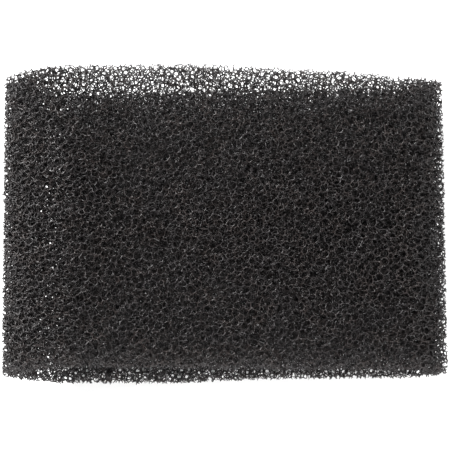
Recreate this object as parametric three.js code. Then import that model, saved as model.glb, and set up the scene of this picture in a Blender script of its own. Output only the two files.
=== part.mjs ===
// A sponge filter sleeve: one strip of coarse open-cell foam bent round and glued end to end,
// so that it slips over the intake cage of a pond or aquarium pump. It lies on its side with the
// glued joint underneath. Millimetres, +Z up, the sleeve's bore along Y, the floor at Z = 0.
//
// The strip is one piece of foam on the real sleeve. It is split here where its bend changes, so
// that each stretch is a simple solid of its own, with the thin wall of glue in a node of its own.
import * as THREE from 'three';

// Driving dimensions.
const sleeveWidth = 190; // across the flattened sleeve, along X
const sleeveLength = 128.5; // cut end to cut end, along Y
const wallThickness = 10.5; // thickness of the foam strip
const leftFoldRadius = 33; // outer radius of the wide fold, at -X
const rightFoldRadius = 20; // outer radius of the tight fold, at +X
const upperBowRadius = 275; // outer radius of the upper wall, which bows upwards
const seamPlace = -53; // where the strip's two ends meet, in the lower wall
const bondThickness = 0.6; // the film of cured glue between the two ends
const splitGap = 0.3; // space between neighbouring solids
const arcStep = THREE.MathUtils.degToRad(6); // largest turn between two facets of a fold
const bowStep = THREE.MathUtils.degToRad(2); // largest turn between two facets of the upper wall

// Centres of the three arcs of the section, in X and Z, and the directions where they meet.
// The lower wall is the straight line from one fold to the other along the floor.
function sectionLayout() {
  const left = new THREE.Vector2(-sleeveWidth / 2 + leftFoldRadius, leftFoldRadius);
  const right = new THREE.Vector2(sleeveWidth / 2 - rightFoldRadius, rightFoldRadius);
  const fromLeft = upperBowRadius - leftFoldRadius;
  const fromRight = upperBowRadius - rightFoldRadius;
  const between = right.clone().sub(left);
  const span = between.length();
  const along = (span * span + fromLeft * fromLeft - fromRight * fromRight) / (2 * span);
  const below = Math.sqrt(fromLeft * fromLeft - along * along);
  const direction = between.clone().divideScalar(span);
  const upper = left.clone()
    .addScaledVector(direction, along)
    .add(new THREE.Vector2(direction.y, -direction.x).multiplyScalar(below));
  return {
    left,
    right,
    upper,
    upperLeftAngle: left.clone().sub(upper).angle(),
    upperRightAngle: right.clone().sub(upper).angle(),
  };
}

// A foam solid: a section drawn in X and Z, carried along Y for the sleeve's whole length.
function carryAlongBore(name, section, material) {
  const geometry = new THREE.ExtrudeGeometry(section, {
    depth: sleeveLength,
    bevelEnabled: false,
    steps: 1,
    curveSegments: 1,
  });
  const mesh = new THREE.Mesh(geometry, material);
  mesh.name = name;
  mesh.rotation.x = Math.PI / 2;
  mesh.position.y = sleeveLength / 2;
  return mesh;
}

// A stretch of wall bent to an arc, from one angle round to a larger one, less half a gap at
// each end. The facets' corners lie on both radii, and none turns by more than step.
function bentWall(centre, outerRadius, fromAngle, toAngle, step) {
  const trim = splitGap / 2 / (outerRadius - wallThickness / 2);
  const start = fromAngle + trim;
  const turn = toAngle - trim - start;
  const facets = Math.max(3, Math.ceil(turn / step));
  const outer = [];
  const inner = [];
  for (let i = 0; i <= facets; i += 1) {
    const angle = start + (turn * i) / facets;
    const ray = new THREE.Vector2(Math.cos(angle), Math.sin(angle));
    outer.push(centre.clone().addScaledVector(ray, outerRadius));
    inner.unshift(centre.clone().addScaledVector(ray, outerRadius - wallThickness));
  }
  return new THREE.Shape([...outer, ...inner]);
}

// A stretch of straight wall that lies on the floor between two places along X.
function flatWall(fromX, toX) {
  return new THREE.Shape([
    new THREE.Vector2(fromX, 0),
    new THREE.Vector2(toX, 0),
    new THREE.Vector2(toX, wallThickness),
    new THREE.Vector2(fromX, wallThickness),
  ]);
}

const foamMaterial = () => new THREE.MeshStandardMaterial({
  color: 0x1d1c1d,
  roughness: 0.62,
  metalness: 0,
});

const glueMaterial = () => new THREE.MeshStandardMaterial({
  color: 0x0e0d0d,
  roughness: 0.4,
  metalness: 0,
});

// The upper wall, bowed over the open bore.
function upperWall({ upper, upperLeftAngle, upperRightAngle }) {
  const section = bentWall(upper, upperBowRadius, upperRightAngle, upperLeftAngle, bowStep);
  return carryAlongBore('upper_wall', section, foamMaterial());
}

// The wide fold at -X, from the upper wall's left end round to the floor.
function leftFold({ left, upperLeftAngle }) {
  const section = bentWall(left, leftFoldRadius, upperLeftAngle, 1.5 * Math.PI, arcStep);
  return carryAlongBore('left_fold', section, foamMaterial());
}

// The tight fold at +X, from the floor round to the upper wall's right end.
function rightFold({ right, upperRightAngle }) {
  const section = bentWall(right, rightFoldRadius, -0.5 * Math.PI, upperRightAngle, arcStep);
  return carryAlongBore('right_fold', section, foamMaterial());
}

// The lower wall lies flat, in two stretches that meet at the glued joint.
function lowerWalls({ left, right }) {
  const halfBond = bondThickness / 2 + splitGap;
  const short = flatWall(left.x + splitGap / 2, seamPlace - halfBond);
  const long = flatWall(seamPlace + halfBond, right.x - splitGap / 2);
  return [
    carryAlongBore('lower_wall_short', short, foamMaterial()),
    carryAlongBore('lower_wall_long', long, foamMaterial()),
  ];
}

// The film of glue that joins the strip's two ends.
function seamBond() {
  const section = flatWall(seamPlace - bondThickness / 2, seamPlace + bondThickness / 2);
  return carryAlongBore('seam_bond', section, glueMaterial());
}

const layout = sectionLayout();
const spongeFilter = new THREE.Group();
spongeFilter.add(
  upperWall(layout),
  leftFold(layout),
  rightFold(layout),
  ...lowerWalls(layout),
  seamBond(),
);

export default spongeFilter;
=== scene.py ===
import itertools
import math

import bpy
import numpy as np
from mathutils import Matrix, Vector


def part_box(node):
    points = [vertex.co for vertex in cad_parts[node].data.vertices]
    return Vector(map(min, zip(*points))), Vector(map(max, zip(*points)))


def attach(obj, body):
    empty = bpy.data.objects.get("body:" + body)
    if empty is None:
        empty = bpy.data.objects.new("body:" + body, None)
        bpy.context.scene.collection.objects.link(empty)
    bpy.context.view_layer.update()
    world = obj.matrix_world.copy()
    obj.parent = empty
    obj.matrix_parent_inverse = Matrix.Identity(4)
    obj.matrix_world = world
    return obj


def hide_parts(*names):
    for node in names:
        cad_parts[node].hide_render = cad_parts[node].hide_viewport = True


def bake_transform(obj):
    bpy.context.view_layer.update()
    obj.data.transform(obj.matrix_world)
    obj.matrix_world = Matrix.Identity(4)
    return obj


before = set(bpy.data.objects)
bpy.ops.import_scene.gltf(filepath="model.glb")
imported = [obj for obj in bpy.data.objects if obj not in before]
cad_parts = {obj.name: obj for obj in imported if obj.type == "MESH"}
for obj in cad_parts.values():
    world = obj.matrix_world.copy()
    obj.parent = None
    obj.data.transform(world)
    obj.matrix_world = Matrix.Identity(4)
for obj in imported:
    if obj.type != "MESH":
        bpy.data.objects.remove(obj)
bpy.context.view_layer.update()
mm = 0.001  # everything below is in metres unless a name or a note says mm

# The view: almost straight down on the sleeve as it lies, turned so that its cut ends are level.
view = {
    "azimuth": 19.8,  # degrees
    "elevation": 79.4,
    "roll": -20.4,
    "distance": 1.108,
    "seenWidth": 0.1935,  # width of the picture at the sleeve's middle
    "aimRight": -0.0006,  # how far the sleeve's middle lies right of and above the picture's
    "aimUp": 0.0005,
    "sensor": 36,  # mm
}


def makeCamera(middle):
    # back = (sin a cos e, -cos a cos e, sin e); right and up are turned about it by the roll
    a, e, r = (math.radians(view[k]) for k in ("azimuth", "elevation", "roll"))
    back = Vector((math.sin(a) * math.cos(e), -math.cos(a) * math.cos(e), math.sin(e)))
    level = Vector((math.cos(a), math.sin(a), 0))
    right = math.cos(r) * level + math.sin(r) * back.cross(level)
    up = back.cross(right)
    data = bpy.data.cameras.new("camera")
    data.sensor_width = view["sensor"]
    data.lens = view["sensor"] * view["distance"] / view["seenWidth"]
    data.clip_start, data.clip_end = 0.01, 20
    camera = bpy.data.objects.new("camera", data)
    place = middle + back * view["distance"] - right * view["aimRight"] - up * view["aimUp"]
    turn = Matrix((right, up, back)).transposed()
    camera.matrix_world = Matrix.Translation(place) @ turn.to_4x4()
    bpy.context.scene.collection.objects.link(camera)
    bpy.context.scene.camera = camera


# The sleeve's section, read off the frame's boxes.
def readSection():
    box = {name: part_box(name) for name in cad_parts}
    thickness = box["lower_wall_long"][1].z
    leftX = (box["left_fold"][1].x + box["lower_wall_short"][0].x) / 2
    rightX = (box["right_fold"][0].x + box["lower_wall_long"][1].x) / 2
    leftRadius = leftX - box["left_fold"][0].x
    rightRadius = box["right_fold"][1].x - rightX
    top = box["upper_wall"][1].z
    left, right = Vector((leftX, leftRadius)), Vector((rightX, rightRadius))
    span = (right - left).length
    along = (right - left) / span
    # The bow's circle holds both folds' circles and touches them. Its radius is found by halving
    # until its top is the upper wall's top.
    low, high, halvings = span, 20 * span, 60
    for _ in range(halvings):
        radius = (low + high) / 2
        fromLeft, fromRight = radius - leftRadius, radius - rightRadius
        reach = (span**2 + fromLeft**2 - fromRight**2) / (2 * span)
        drop = math.sqrt(fromLeft**2 - reach**2)
        centre = left + along * reach + Vector((along.y, -along.x)) * drop
        if centre.y + radius > top:
            low = radius
        else:
            high = radius
    leftAngle = math.atan2(*(left - centre).yx)
    rightAngle = math.atan2(*(right - centre).yx)
    seamX = (box["seam_bond"][0].x + box["seam_bond"][1].x) / 2
    half = thickness / 2
    # stretches of the strip from the seam anticlockwise back to it: (node, length, turn)
    stretches = (
        ("lower_wall_long", rightX - seamX, 0),
        ("right_fold", (rightRadius - half) * (rightAngle + math.pi / 2), rightAngle + math.pi / 2),
        ("upper_wall", (radius - half) * (leftAngle - rightAngle), leftAngle - rightAngle),
        ("left_fold", (leftRadius - half) * (1.5 * math.pi - leftAngle), 1.5 * math.pi - leftAngle),
        ("lower_wall_short", seamX - leftX, 0),
    )
    return {
        "thickness": thickness,
        "seamX": seamX,
        "names": [s[0] for s in stretches],
        "ends": np.cumsum([0] + [s[1] for s in stretches]),
        "turns": np.array([s[2] for s in stretches]),
        "leftRadius": leftRadius,
        "innerEnds": {
            "left_fold": leftRadius + (leftRadius - thickness) * math.sin(leftAngle),
            "right_fold": rightRadius + (rightRadius - thickness) * math.sin(rightAngle),
        },
        "front": box["upper_wall"][0].y,
        "back": box["upper_wall"][1].y,
    }


section = readSection()
stripLength = section["ends"][-1]
stripWidth = section["back"] - section["front"]
stripDepth = section["thickness"]
print("strip", round(stripLength / mm), "x", round(stripWidth / mm), "x", round(stripDepth / mm, 1), "mm")


# The hand-cut ends of the sleeve wander: (mm along the strip, mm that the cut stands out there).
cutEdges = {
    "front": ((0, 0.3), (25, 0.6), (70, -0.5), (130, -0.5), (200, 0), (320, 0), (400, 0.2)),
    "back": (
        (0, 0), (140, 0), (172, -2.4), (195, -0.8), (225, 0),
        (260, 0.7), (320, -0.5), (350, -0.8), (400, 0),
    ),
}


def cutShift(s, edge):
    # the listed values, eased from each to the next by 3t^2 - 2t^3
    at, out = (np.array(v) * mm for v in zip(*cutEdges[edge]))
    i = np.clip(np.searchsorted(at, s) - 1, 0, len(at) - 2)
    t = np.clip((s - at[i]) / (at[i + 1] - at[i]), 0, 1)
    return out[i] + (out[i + 1] - out[i]) * t * t * (3 - 2 * t)


def bendStrip(flat):
    # flat is (along the strip, across it, up from its inner face). Each stretch is an arc of
    # constant curvature k, so the middle line is p0 + (sin(h0 + k s) - sin h0, cos h0 - cos(h0 + k s)) / k
    # and a point stands off it by its height along (sin h, -cos h), the outward normal.
    s, y, r = flat.T
    across = y / stripWidth
    y = y - cutShift(s, "front") * (1 - across) + cutShift(s, "back") * across
    lengths = np.diff(section["ends"])
    middle = np.empty((len(s), 2))
    heading = np.empty(len(s))
    start, h0 = np.array([section["seamX"], stripDepth / 2]), 0.0
    for i, (length, turn) in enumerate(zip(lengths, section["turns"])):
        last = i == len(lengths) - 1
        here = (s >= section["ends"][i]) if i else np.ones(len(s), bool)
        t = s[here] - section["ends"][i]
        k = turn / length

        def walk(t):
            if k == 0:
                return start + np.stack([t * math.cos(h0), t * math.sin(h0)], -1)
            h = h0 + k * t
            return start + np.stack([np.sin(h) - math.sin(h0), math.cos(h0) - np.cos(h)], -1) / k

        middle[here] = walk(t)
        heading[here] = h0 + k * t
        if not last:
            start, h0 = walk(np.array([length]))[0], h0 + turn
    off = r - stripDepth / 2
    x = middle[:, 0] + off * np.sin(heading)
    z = middle[:, 1] - off * np.cos(heading)
    return np.stack([x, y + section["front"], z], -1)


# The foam: the edges of a Voronoi froth, which is what is left of a foam once the films between
# its cells are burnt away.
foam = {
    "pitch": 3.6,  # mm, spacing of the cubic lattice that the cell centres start from
    "jitter": 0.5,  # how far a cell centre strays, in pitches
    "margin": 1.15,  # pitches of foam made past the strip on every side
    "pushes": 2,  # times that cells closer than the room push each other apart
    "push": 0.3,  # share of the missing room that each of the two moves by
    "room": 1.05,  # pitches
    "pushing": 14,  # nearest cells that may push one
    "nearest": 22,  # nearest cells that may share a joint with one
    "checked": 34,  # nearest cells that could lie too near a joint
    "sight": 1.9,  # pitches within which they are looked for
    "rounds": 3,  # times that each joint is drawn halfway to the middle of its four neighbours
    "strut": 0.26,  # mm, from the middle of a joint to its corners
    "spread": 0.2,  # share by which that size varies
    "tip": 0.75,  # share of a strut's thickness left where it is cut
    "fray": 0.8,  # mm, most that a cut strut stands out
    "glued": 0.8,  # share by which glue thickens the struts at the seam
    "soak": 1.8,  # mm that the glue soaks in
    "crowded": 0.15,  # share by which struts are thicker in the folds
    "foldEase": 8,  # mm over which that comes in
    "bend": 34,  # mm, the least height that a fold's squeeze is spread over
    "slice": 38,  # mm of strip, the most that one mesh holds
    "mapLean": (0.31, 0.17),  # share of the height that u and v of the baking map take
    "seed": 12,
}


def cellCentres(size, pitch, rng):
    # a body-centred lattice, each point moved by a random share of the pitch each way
    past = 2  # lattice steps past the strip on every side
    n = np.ceil(size / pitch).astype(int) + 2 * past
    grid = np.stack(np.meshgrid(*(np.arange(k) for k in n), indexing="ij"), -1).reshape(-1, 3)
    points = np.concatenate([grid, grid + 0.5]) - past
    points = points + rng.uniform(-foam["jitter"], foam["jitter"], points.shape)
    points = points * pitch
    reach = foam["margin"] * pitch
    return points[((points > -reach) & (points < size + reach)).all(1)]


def spreadCells(points, pitch):
    # evens the cells out: each moves push (room - gap) away from every other within the room
    room = foam["room"] * pitch
    for _ in range(foam["pushes"]):
        near = nearestCells(points, room, foam["pushing"])
        away = points[:, None] - points[near]
        gap = np.linalg.norm(away, axis=2)
        push = np.where(near < 0, 0, np.clip(room / np.maximum(gap, 1e-9) - 1, 0, 1))
        points = points + foam["push"] * (away * push[..., None]).sum(1)
    return points


def nearestCells(points, reach, count):
    # Points are sorted into cubes of side reach, and each looks through its own and the 26 around
    # it. A place with no cell holds -1.
    cube = ((points - points.min(0)) // reach).astype(int) + 1
    wide = cube.max(0) + 2
    key = (cube[:, 0] * wide[1] + cube[:, 1]) * wide[2] + cube[:, 2]
    order = np.argsort(key, kind="stable")
    first = np.searchsorted(key[order], np.arange(wide.prod() + 1))
    crowd = np.diff(first).max()
    around = [(i * wide[1] + j) * wide[2] + k for i, j, k in itertools.product((-1, 0, 1), repeat=3)]
    found = np.empty((len(points), count), int)
    batch = 2000  # cells that fit in memory together
    for a in range(0, len(points), batch):
        own = key[a : a + batch]
        cubes = own[:, None] + np.array(around)
        slots = first[cubes][..., None] + np.arange(crowd)
        real = slots < first[cubes + 1][..., None]
        others = np.where(real, order[np.where(real, slots, 0)], -1).reshape(len(own), -1)
        gap = ((points[others] - points[a : a + batch, None]) ** 2).sum(-1)
        gap[(others < 0) | (others == np.arange(a, a + len(own))[:, None])] = np.inf
        nearest = np.argpartition(gap, count, axis=1)[:, :count]
        gap = np.take_along_axis(gap, nearest, 1)
        rank = np.argsort(gap, 1)
        best = np.take_along_axis(others, np.take_along_axis(nearest, rank, 1), 1)
        best[np.take_along_axis(gap, rank, 1) == np.inf] = -1
        found[a : a + batch] = best
    return found


def frothJoints(points, near, reach):
    # A joint is a point that is as far from each of four cells and nearer to no fifth. With the first
    # cell as origin and the others at a, b, c it is (|a|2 b*c + |b|2 c*a + |c|2 a*b) / 2 a.(b*c).
    threes = np.array(list(itertools.combinations(range(foam["nearest"]), 3)))
    places, owners = [], []
    batch = 250  # cells that fit in memory together
    for start in range(0, len(points), batch):
        cells = np.arange(start, min(start + batch, len(points)))
        others = near[cells]
        away = points[others] - points[cells, None]
        away[others < 0] = 1e3  # a missing cell is put too far off to matter
        half = (away**2).sum(-1) / 2
        later = (others > cells[:, None])[:, threes].all(-1)
        row, three = np.nonzero(later)
        pick = threes[three].T
        a, b, c = (away[row, p] for p in pick)
        ha, hb, hc = (half[row, p][:, None] for p in pick)
        bc = np.cross(b, c)
        volume = (a * bc).sum(-1)
        flat = np.abs(volume) < 1e-3  # four cells in a plane share no joint
        spot = (ha * bc + hb * np.cross(c, a) + hc * np.cross(a, b)) / np.where(flat, 1, volume)[:, None]
        close = ~flat & ((spot**2).sum(-1) < reach**2)
        spot, row, three = spot[close], row[close], three[close]
        clear = (np.einsum("mi,mki->mk", spot, away[row]) <= half[row] + 1e-7).all(1)
        spot, row, three = spot[clear], row[clear], three[clear]
        places.append(spot + points[cells[row]])
        owners.append(np.concatenate([cells[row][:, None], others[row[:, None], threes[three]]], 1))
    return np.concatenate(places), np.sort(np.concatenate(owners), 1)


def linkJoints(owners, count):
    # two joints that share three cells are the ends of one strut
    keys = []
    for leave in range(4):
        a, b, c = np.delete(owners, leave, 1).T
        keys.append((a * count + b) * count + c)
    keys = np.stack(keys, 1).ravel()
    order = np.argsort(keys, kind="stable")
    same = np.nonzero(keys[order][1:] == keys[order][:-1])[0]
    partner = np.full(len(keys), -1)
    partner[order[same]], partner[order[same + 1]] = order[same + 1], order[same]
    return partner.reshape(-1, 4)


def makeFroth():
    rng = np.random.default_rng(foam["seed"])
    size = np.array([stripLength, stripWidth, stripDepth]) / mm
    points = spreadCells(cellCentres(size, foam["pitch"], rng), foam["pitch"])
    near = nearestCells(points, foam["sight"] * foam["pitch"], foam["checked"])
    joints, owners = frothJoints(points, near, foam["pitch"])
    partner = linkJoints(owners, len(points))
    whole = (partner >= 0).all(1)
    for _ in range(foam["rounds"]):
        drawn = joints[partner // 4].mean(1)
        joints = np.where(whole[:, None], 0.5 * joints + 0.5 * drawn, joints)
    return joints, partner, size, rng


def jointSizes(flat, size, rng):
    # size = strut (1 + glued e^(-(d/soak)^2) + crowded f) (1 +- spread), with d the distance to the
    # seam and f 1 in the folds, where the foam is squeezed together, and 0 in the walls
    toSeam = np.minimum(flat[:, 0], size[0] - flat[:, 0])
    folded = np.zeros(len(flat))
    for i, name in enumerate(section["names"]):
        if "fold" in name:
            low, high = section["ends"][i : i + 2] / mm
            inside = np.minimum(flat[:, 0] - low, high - flat[:, 0])
            folded += np.clip(0.5 + inside / foam["foldEase"], 0, 1)
    more = foam["glued"] * np.exp(-((toSeam / foam["soak"]) ** 2)) + foam["crowded"] * folded
    return foam["strut"] * mm * (1 + more) * (1 + foam["spread"] * rng.uniform(-1, 1, len(flat)))


# A joint is a small tetrahedron with one corner behind each strut, so that each strut leaves through
# the face opposite to it. These are the corners round each strut, anticlockwise from outside.
roundStrut = np.array([[1, 2, 3], [0, 3, 2], [0, 1, 3], [0, 2, 1]])


def prism(base, tip):
    # the six triangles between two triangles of corners that run anticlockwise about base to tip
    nextBase, nextTip = np.roll(base, -1, 1), np.roll(tip, -1, 1)
    return np.concatenate(
        [np.stack([base, nextBase, nextTip], -1), np.stack([base, nextTip, tip], -1)], 1
    )


def unit(ways):
    return ways / np.maximum(np.linalg.norm(ways, axis=-1, keepdims=True), 1e-9)


def cutStruts(flat, outside, size, rng):
    # a strut that leaves the strip is cut at the first face it meets, or further out by its fray
    way = outside - flat
    with np.errstate(divide="ignore", invalid="ignore"):
        toFace = np.where(way > 0, (size - flat) / way, np.where(way < 0, -flat / way, np.inf))
    share = toFace.min(1) + foam["fray"] * rng.random(len(way)) ** 2 / np.linalg.norm(way, axis=1)
    return bendStrip((flat + way * np.clip(share, 0, 1)[:, None]) * mm)


def strutWays(places, ends, missing):
    # unit directions of each joint's struts; a missing one points away from the others
    lead = ends - places[:, None]
    lead[missing] = 0
    lead = unit(lead)
    return np.where(missing[:, :, None], unit(-lead.sum(1, keepdims=True)), lead)


def strutOrder(lead):
    # the last two struts change places at a joint whose corners would be inside out
    a, b, c = (lead[:, k] - lead[:, 0] for k in (1, 2, 3))
    order = np.tile(np.arange(4), (len(lead), 1))
    order[(a * np.cross(b, c)).sum(1) > 0] = [0, 1, 3, 2]
    return order


def turnTips(tip, fromBase, fromTip):
    # the far end's corners, begun at the one that twists the strut least
    fit = [(fromBase * np.roll(fromTip, -k, 1)).sum((1, 2)) for k in range(3)]
    return np.take_along_axis(tip, (np.arange(3) + np.argmax(fit, 0)[:, None]) % 3, 1)


def strutTriangles(joints, partner, size, rng):
    # Returns the points, the triangles and the slice that each triangle belongs to.
    keep = ((joints >= 0) & (joints <= size)).all(1)
    number = np.cumsum(keep) - 1
    flat, partner = joints[keep], partner[keep]
    far, farSlot = partner // 4, partner % 4
    missing = partner < 0
    linked, cut = ~missing & keep[far], ~missing & ~keep[far]
    places = bendStrip(flat * mm)
    ends = np.zeros((len(places), 4, 3))
    ends[linked] = places[number[far[linked]]]
    ends[cut] = cutStruts(flat[np.nonzero(cut)[0]], joints[far[cut]], size, rng)

    # each joint's corners lie behind its struts
    lead = strutWays(places, ends, missing)
    order = strutOrder(lead)
    lead = np.take_along_axis(lead, order[:, :, None], 1)
    corners = places[:, None] - lead * jointSizes(flat, size, rng)[:, None, None]
    points = corners.reshape(-1, 3)
    newSlot = np.argsort(order, 1)

    # whole struts, each made once; where one crosses to the next slice both sides are closed
    joint, slot = np.nonzero(linked)
    other = number[far[joint, slot]]
    once = joint < other
    joint, slot, other = joint[once], slot[once], other[once]
    base = 4 * joint[:, None] + roundStrut[newSlot[joint, slot]]
    tip = 4 * other[:, None] + roundStrut[newSlot[other, farSlot[joint, slot]]][:, ::-1]
    tip = turnTips(tip, points[base] - places[joint, None], points[tip] - places[other, None])
    whole = (prism(base, tip), joint)
    split = sliceOf(flat[joint, 0]) != sliceOf(flat[other, 0])
    capNear = (tip[split][:, None], joint[split])
    capFar = (tip[split][:, None, ::-1], other[split])

    # cut struts end a little thinner, with a cap
    joint, slot = np.nonzero(cut)
    base = 4 * joint[:, None] + roundStrut[newSlot[joint, slot]]
    around = points[base] - points[base].mean(1, keepdims=True)
    tip = len(points) + np.arange(3 * len(joint)).reshape(-1, 3)
    points = np.concatenate([points, (ends[cut][:, None] + foam["tip"] * around).reshape(-1, 3)])
    cutOnes = (np.concatenate([prism(base, tip), tip[:, None]], 1), joint)

    joint, slot = np.nonzero(missing)
    closed = ((4 * joint[:, None] + roundStrut[newSlot[joint, slot]])[:, None], joint)
    parts = [whole, capNear, capFar, cutOnes, closed]
    triangles = np.concatenate([t.reshape(-1, 3) for t, _ in parts])
    owner = np.concatenate([np.repeat(j, t.shape[1]) for t, j in parts])
    return points, triangles, sliceOf(flat[owner, 0])


# Each stretch of the strip is made in equal slices, each light enough for one mesh.
def planSlices():
    edges, names = [0.0], []
    for i, name in enumerate(section["names"]):
        low, high = section["ends"][i : i + 2]
        count = math.ceil((high - low) / mm / foam["slice"])
        edges += list(np.linspace(low, high, count + 1)[1:])
        names += [(name, k + 1 if count > 1 else 0) for k in range(count)]
    return np.array(edges) / mm, names


sliceEdges, sliceNames = planSlices()


def sliceOf(along):
    return np.clip(np.searchsorted(sliceEdges, along, "right") - 1, 0, len(sliceNames) - 1)


def meshObject(name, points, triangles, material):
    mesh = bpy.data.meshes.new(name)
    mesh.vertices.add(len(points))
    mesh.vertices.foreach_set("co", points.astype(np.float32).ravel())
    mesh.loops.add(3 * len(triangles))
    mesh.loops.foreach_set("vertex_index", triangles.astype(np.int32).ravel())
    mesh.polygons.add(len(triangles))
    mesh.polygons.foreach_set("loop_start", np.arange(0, 3 * len(triangles), 3, dtype=np.int32))
    mesh.update(calc_edges=True)
    mesh.shade_smooth()
    mesh.materials.append(material)
    made = bpy.data.objects.new(name, mesh)
    bpy.context.scene.collection.objects.link(made)
    return made


# Materials
foamFinish = {
    "black": (0.0075, 0.0063, 0.0065),
    "grey": (0.0215, 0.0188, 0.0195),
    "brown": (0.0265, 0.0206, 0.0192),
    "shine": 0.26,  # specular level
    "roughness": (0.28, 0.45),  # least and most
    # the fine noise below lightens random struts: partly the foam's own uneven tone, partly painted sheen
    # for the shine that differs with each strut's facing
    "cell": (300, 4),  # noise scale per metre, and detail
    "sheenAndToneRamp": (0.35, 0.65),  # noise values between which the colour changes
    "tint": (110, 2),
    "tintRamp": (0.42, 0.6),
    "skin": (900, 2),
    "bump": 0.15,
    "bumpDepth": 0.02 * mm,
}


def plainMaterial(name):
    material = bpy.data.materials.new(name)
    material.use_nodes = True
    return material, material.node_tree.nodes["Principled BSDF"]


def noiseNode(material, scale, detail):
    # noise on Object coordinates
    nodes, links = material.node_tree.nodes, material.node_tree.links
    place = nodes.new("ShaderNodeTexCoord")
    noise = nodes.new("ShaderNodeTexNoise")
    noise.inputs["Scale"].default_value = scale
    noise.inputs["Detail"].default_value = detail
    links.new(place.outputs["Object"], noise.inputs["Vector"])
    return noise.outputs["Fac"]


def ramp(material, value, limits, colours):
    # limits are where on the value the two colours are reached
    nodes, links = material.node_tree.nodes, material.node_tree.links
    node = nodes.new("ShaderNodeValToRGB")
    for element, at, colour in zip(node.color_ramp.elements, limits, colours):
        element.position, element.color = at, (*colour, 1)
    links.new(value, node.inputs["Fac"])
    return node.outputs["Color"]


def finish(material, skin, roughness, bump, depth):
    # roughness and bump from one noise
    nodes, links = material.node_tree.nodes, material.node_tree.links
    shader = nodes["Principled BSDF"]
    rough = nodes.new("ShaderNodeMapRange")
    rough.inputs["To Min"].default_value, rough.inputs["To Max"].default_value = roughness
    links.new(skin, rough.inputs["Value"])
    links.new(rough.outputs["Result"], shader.inputs["Roughness"])
    relief = nodes.new("ShaderNodeBump")
    relief.inputs["Strength"].default_value = bump
    relief.inputs["Distance"].default_value = depth
    links.new(skin, relief.inputs["Height"])
    links.new(relief.outputs["Normal"], shader.inputs["Normal"])


def foamMaterial():
    # black to a tint by a fine noise that is partly the foam's own uneven tone and partly painted sheen
    # for the shine that differs with each strut's facing; the tint from grey to brown by a slower one
    f = foamFinish
    material, shader = plainMaterial("foam")
    nodes, links = material.node_tree.nodes, material.node_tree.links
    tint = ramp(material, noiseNode(material, *f["tint"]), f["tintRamp"], (f["grey"], f["brown"]))
    # painted sheen mixed with the foam's own tone: the fine noise lightens random struts
    sheenAndTone = ramp(material, noiseNode(material, *f["cell"]), f["sheenAndToneRamp"], ((0, 0, 0), (1, 1, 1)))
    mix = nodes.new("ShaderNodeMix")
    mix.data_type = "RGBA"
    mix.inputs["A"].default_value = (*f["black"], 1)
    links.new(sheenAndTone, mix.inputs["Factor"])
    links.new(tint, mix.inputs["B"])
    links.new(mix.outputs["Result"], shader.inputs["Base Color"])
    shader.inputs["Specular IOR Level"].default_value = f["shine"]
    finish(material, noiseNode(material, *f["skin"]), f["roughness"], f["bump"], f["bumpDepth"])
    return material


def layMap(made, points, triangles, piece):
    # A flat map for baking: u runs along the slice and v across it, and each takes a share of the
    # height, so that no face is seen edge on.
    low, high = sliceEdges[piece : piece + 2] * mm
    ends = bendStrip(np.array([[low, 0, stripDepth / 2], [high, 0, stripDepth / 2]]))
    along = (ends[1] - ends[0]) / np.linalg.norm(ends[1] - ends[0])
    height = points @ np.cross(along, (0, 1, 0))
    leanU, leanV = foam["mapLean"]
    flat = np.stack([points @ along + leanU * height, points[:, 1] + leanV * height], 1)
    flat = (flat - flat.min(0)) / np.ptp(flat, axis=0)
    layer = made.data.uv_layers.new(name="OFBake")
    layer.uv.foreach_set("vector", flat[triangles.ravel()].astype(np.float32).ravel())


def makeFoam(material):
    joints, partner, size, rng = makeFroth()
    points, triangles, piece = strutTriangles(joints, partner, size, rng)
    total = 0
    for i, (node, number) in enumerate(sliceNames):
        used, mine = np.unique(triangles[piece == i], return_inverse=True)
        mine = mine.reshape(-1, 3)
        name = "foam_" + node + (f"_{number}" if number else "")
        made = meshObject(name, points[used], mine, material)
        layMap(made, points[used], mine, i)
        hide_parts(node)
        if "fold" in node:
            blendFold(made)
        else:
            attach(made, "upper" if node == "upper_wall" else "lower")
        total += len(mine)
        print(name, len(mine), "triangles")
    print("foam", total, "triangles in", len(sliceNames), "pieces")


def blendFold(made):
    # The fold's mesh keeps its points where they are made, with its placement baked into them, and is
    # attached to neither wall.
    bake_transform(made)


# The glue: an uneven film between the strip's two ends, with rounded edges.
glue = {
    "film": (0.3, 1.0),  # mm, least and most from the joint's middle to a face
    "inset": 0.6,  # mm, from the strip's faces and cut ends to the film's edge
    "rows": 160,
    "around": 48,
    "square": 0.25,  # power of the section's superellipse, 1 for an ellipse and 0 for a rectangle
    "blunt": 8,  # power by which the ends close
    # the film's thickness: waves per metre along and up, with a phase, and the phase between faces
    "waves": ((1900, 1300, 1), (830, -2100, 2), (3700, 2900, 3)),
    "phase": 1.7,
    "dark": (0.004, 0.0035, 0.0035),
    "light": (0.016, 0.012, 0.0105),
    "shine": 0.3,
    "roughness": (0.45, 0.7),
    "grain": (700, 3),
    "grainRamp": (0.35, 0.65),
    "bump": 0.4,
    "bumpDepth": 0.1 * mm,
}


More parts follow.
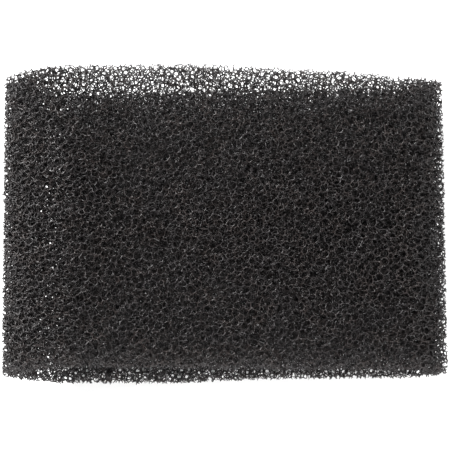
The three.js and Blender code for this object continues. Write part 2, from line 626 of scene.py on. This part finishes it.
def glueShape():
    # A superellipse carried along the joint: r = depth/2 (1 + sin^p a) up the wall and
    # x = half cos^p a across it, with half between thin and thick by a sum of sines in y and r. Both
    # shrink to a point at the ends by e = (1 - (2 u - 1)^blunt)^(1/2).
    u = np.linspace(0, 1, glue["rows"] + 2)[1:-1, None]
    a = np.arange(glue["around"]) / glue["around"] * 2 * math.pi
    ease = np.sqrt(1 - (2 * u - 1) ** glue["blunt"])
    squareCos, squareSin = (np.sign(v) * np.abs(v) ** glue["square"] for v in (np.cos(a), np.sin(a)))
    inset = glue["inset"] * mm
    y = inset + u * (stripWidth - 2 * inset)
    r = stripDepth / 2 + (stripDepth / 2 - inset) * squareSin * ease
    side = np.where(np.cos(a) > 0, glue["phase"], 0.0)
    waves = glue["waves"]
    swell = sum(np.sin(p * y + q * r + k * side + k) for p, q, k in waves) / (2 * len(waves)) + 0.5
    thin, thick = (v * mm for v in glue["film"])
    x = (thin + (thick - thin) * swell) * squareCos * ease
    rings = np.stack([x, y + 0 * a, r], -1).reshape(-1, 3)
    tips = np.array([[0, inset, stripDepth / 2], [0, stripWidth - inset, stripDepth / 2]])
    return np.concatenate([rings, tips]) + (section["seamX"], section["front"], 0)


def makeGlue():
    rows, around = glue["rows"], glue["around"]
    ring = np.arange(rows * around).reshape(rows, around)
    after = np.roll(ring, -1, 1)
    walls = np.stack([ring[:-1], ring[1:], after[1:], after[:-1]], -1).reshape(-1, 4)
    tip = np.full(around, rows * around)
    first = np.stack([ring[0], after[0], tip], -1)
    last = np.stack([after[-1], ring[-1], tip + 1], -1)
    mesh = bpy.data.meshes.new("seam_glue")
    mesh.from_pydata(glueShape(), [], walls.tolist() + first.tolist() + last.tolist())
    mesh.shade_smooth()
    material, shader = plainMaterial("glue")
    grain = noiseNode(material, *glue["grain"])
    colour = ramp(material, grain, glue["grainRamp"], (glue["dark"], glue["light"]))
    material.node_tree.links.new(colour, shader.inputs["Base Color"])
    shader.inputs["Specular IOR Level"].default_value = glue["shine"]
    finish(material, grain, glue["roughness"], glue["bump"], glue["bumpDepth"])
    mesh.materials.append(material)
    made = bpy.data.objects.new("seam_glue", mesh)
    bpy.context.scene.collection.objects.link(made)
    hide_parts("seam_bond")
    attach(made, "lower")
    print("glue film of", len(walls), "faces")


# Floor and light
studio = {
    "floor": (0.9, 0.9),  # reflectance and roughness
    "floorSize": 12,
    "sky": 0.26,  # strength as light
    "lampSize": 0.5,
    "lampDistance": 1.2,
    # azimuth and elevation in degrees, watts
    "lamps": {"key": (133, 26, 50), "fill": (-80, 29, 24), "edge": (5, 25, 11)},
}


def makeFloor():
    bpy.ops.mesh.primitive_plane_add(size=studio["floorSize"])
    floor = bpy.context.object
    floor.name = "floor"
    material, shader = plainMaterial("floor")
    reflectance, roughness = studio["floor"]
    shader.inputs["Base Color"].default_value = (reflectance, reflectance, reflectance, 1)
    shader.inputs["Roughness"].default_value = roughness
    floor.data.materials.append(material)


def makeSky():
    # seen directly it is white, and as light it is dimmer
    world = bpy.data.worlds.new("studio")
    world.use_nodes = True
    nodes, links = world.node_tree.nodes, world.node_tree.links
    seen = nodes.new("ShaderNodeLightPath")
    strength = nodes.new("ShaderNodeMapRange")
    strength.inputs["To Min"].default_value = studio["sky"]
    strength.inputs["To Max"].default_value = 1.0
    nodes["Background"].inputs["Color"].default_value = (1, 1, 1, 1)
    links.new(seen.outputs["Is Camera Ray"], strength.inputs["Value"])
    links.new(strength.outputs["Result"], nodes["Background"].inputs["Strength"])
    bpy.context.scene.world = world


def makeLamps(middle):
    for name, (azimuth, elevation, watts) in studio["lamps"].items():
        a, e = math.radians(azimuth), math.radians(elevation)
        away = Vector((math.cos(a) * math.cos(e), math.sin(a) * math.cos(e), math.sin(e)))
        data = bpy.data.lights.new(name, "AREA")
        data.size, data.energy = studio["lampSize"], watts
        lamp = bpy.data.objects.new(name, data)
        place = Matrix.Translation(middle + away * studio["lampDistance"])
        lamp.matrix_world = place @ away.to_track_quat("Z", "Y").to_matrix().to_4x4()
        bpy.context.scene.collection.objects.link(lamp)


middle = Vector((0, 0, section["leftRadius"]))
makeCamera(middle)
makeFloor()
makeSky()
makeLamps(middle)
bpy.context.scene.view_settings.view_transform = "Standard"
makeFoam(foamMaterial())
makeGlue()
